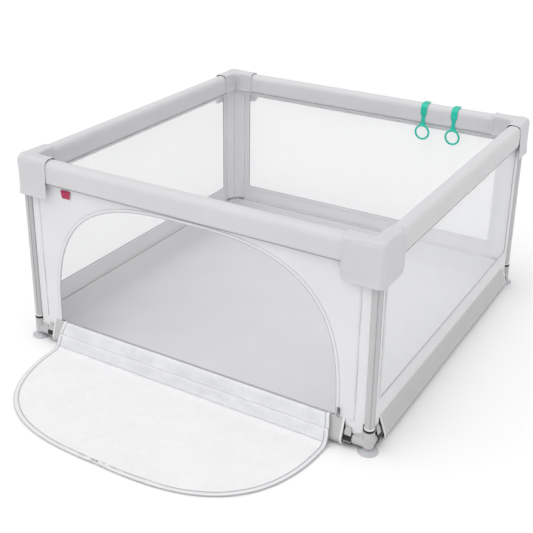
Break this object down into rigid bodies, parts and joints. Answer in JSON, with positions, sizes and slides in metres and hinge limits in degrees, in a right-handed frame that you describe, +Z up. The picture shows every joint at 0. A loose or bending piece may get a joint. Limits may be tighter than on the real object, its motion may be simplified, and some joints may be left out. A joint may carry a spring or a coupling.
{
  "type": "playpen",
  "caption": "Square fabric playpen: padded top rail on a steel tube frame, net walls, zipped arch door lying open on the floor, suction feet and pull rings.",
  "frame": {"origin": "on the floor, at the middle of the square that the four posts stand on", "axes": "-Y through the doorway, along the open door; +X to the right of someone facing the doorway from outside; +Z up"},
  "size_m": [1.26, 1.6664, 0.646],
  "materials": {
    "tube_steel": "zinc plated",
    "connector_plastic": "fine moulded grain",
    "cup_rubber": "soft translucent",
    "rail_foam": "open cell foam",
    "rail_cloth": "oxford weave",
    "wall_cloth": "oxford weave",
    "window_net": "fine see-through net",
    "floor_cloth": "coated oxford weave",
    "door_cloth": "fine net with bound edge",
    "hook_and_loop": "hook and loop tape",
    "zip_metal": "satin",
    "teal_silicone": "soft gloss"
  },
  "bodies": {
    "root": {"bottom_connector_front_right": "connector_plastic", "suction_foot_front_right": "cup_rubber", "post_tube_front_right": "tube_steel", "top_connector_front_right": "connector_plastic", "corner_cover_front_right": "rail_cloth", "bottom_connector_back_right": "connector_plastic", "suction_foot_back_right": "cup_rubber", "post_tube_back_right": "tube_steel", "top_connector_back_right": "connector_plastic", "corner_cover_back_right": "rail_cloth", "bottom_connector_back_left": "connector_plastic", "suction_foot_back_left": "cup_rubber", "post_tube_back_left": "tube_steel", "top_connector_back_left": "connector_plastic", "corner_cover_back_left": "rail_cloth", "bottom_connector_front_left": "connector_plastic", "suction_foot_front_left": "cup_rubber", "post_tube_front_left": "tube_steel", "top_connector_front_left": "connector_plastic", "corner_cover_front_left": "rail_cloth", "bottom_rail_tube_front": "tube_steel", "top_rail_tube_front": "tube_steel", "rail_foam_front": "rail_foam", "rail_cover_front": "rail_cloth", "wall_front": "wall_cloth", "arm_strap_front_a": "hook_and_loop", "arm_strap_front_b": "hook_and_loop", "bottom_rail_tube_right": "tube_steel", "top_rail_tube_right": "tube_steel", "rail_foam_right": "rail_foam", "rail_cover_right": "rail_cloth", "wall_right": "wall_cloth", "mesh_window_right": "window_net", "arm_strap_right_a": "hook_and_loop", "arm_strap_right_b": "hook_and_loop", "bottom_rail_tube_back": "tube_steel", "top_rail_tube_back": "tube_steel", "rail_foam_back": "rail_foam", "rail_cover_back": "rail_cloth", "wall_back": "wall_cloth", "mesh_window_back": "window_net", "arm_strap_back_a": "hook_and_loop", "arm_strap_back_b": "hook_and_loop", "bottom_rail_tube_left": "tube_steel", "top_rail_tube_left": "tube_steel", "rail_foam_left": "rail_foam", "rail_cover_left": "rail_cloth", "wall_left": "wall_cloth", "mesh_window_left": "window_net", "arm_strap_left_a": "hook_and_loop", "arm_strap_left_b": "hook_and_loop", "floor_mat": "floor_cloth", "pull_strap_1": "teal_silicone", "pull_strap_2": "teal_silicone"},
    "door_apron": {"door_apron": "door_cloth"},
    "door_panel": {"door_panel": "door_cloth"},
    "zip_slider": {"zip_slider": "zip_metal"},
    "zip_pull": {"zip_pull": "zip_metal"},
    "pull_ring_1": {"pull_ring_1": "teal_silicone"},
    "pull_ring_2": {"pull_ring_2": "teal_silicone"}
  },
  "joints": [
    {"name": "door_hinge", "type": "hinge", "parent": "root", "child": "door_apron", "pos_m": [0, -0.612, 0.086], "axis": [-1, 0, 0], "range_deg": [0, 156.3]},
    {"name": "door_fold", "type": "hinge", "parent": "door_apron", "child": "door_panel", "pos_m": [0, -0.648, 0.004], "axis": [1, 0, 0], "range_deg": [0, 66.4]},
    {"name": "zip_travel", "type": "slide", "parent": "root", "child": "zip_slider", "axis": [0, 0, 1], "range_m": [0, 0.11]},
    {"name": "zip_pull_swing", "type": "hinge", "parent": "zip_slider", "child": "zip_pull", "pos_m": [0.508, -0.6115, 0.1085], "axis": [-1, 0, 0], "range_deg": [0, 160]},
    {"name": "ring_swing_1", "type": "hinge", "parent": "root", "child": "pull_ring_1", "pos_m": [0.243, 0.573, 0.6014], "axis": [-1, 0, 0], "range_deg": [0, 100]},
    {"name": "ring_swing_2", "type": "hinge", "parent": "root", "child": "pull_ring_2", "pos_m": [0.36, 0.573, 0.6014], "axis": [-1, 0, 0], "range_deg": [0, 100]}
  ],
  "couplings": [
    {"joint": "door_fold", "follows": "door_hinge", "ratio": 0.42417}
  ]
}
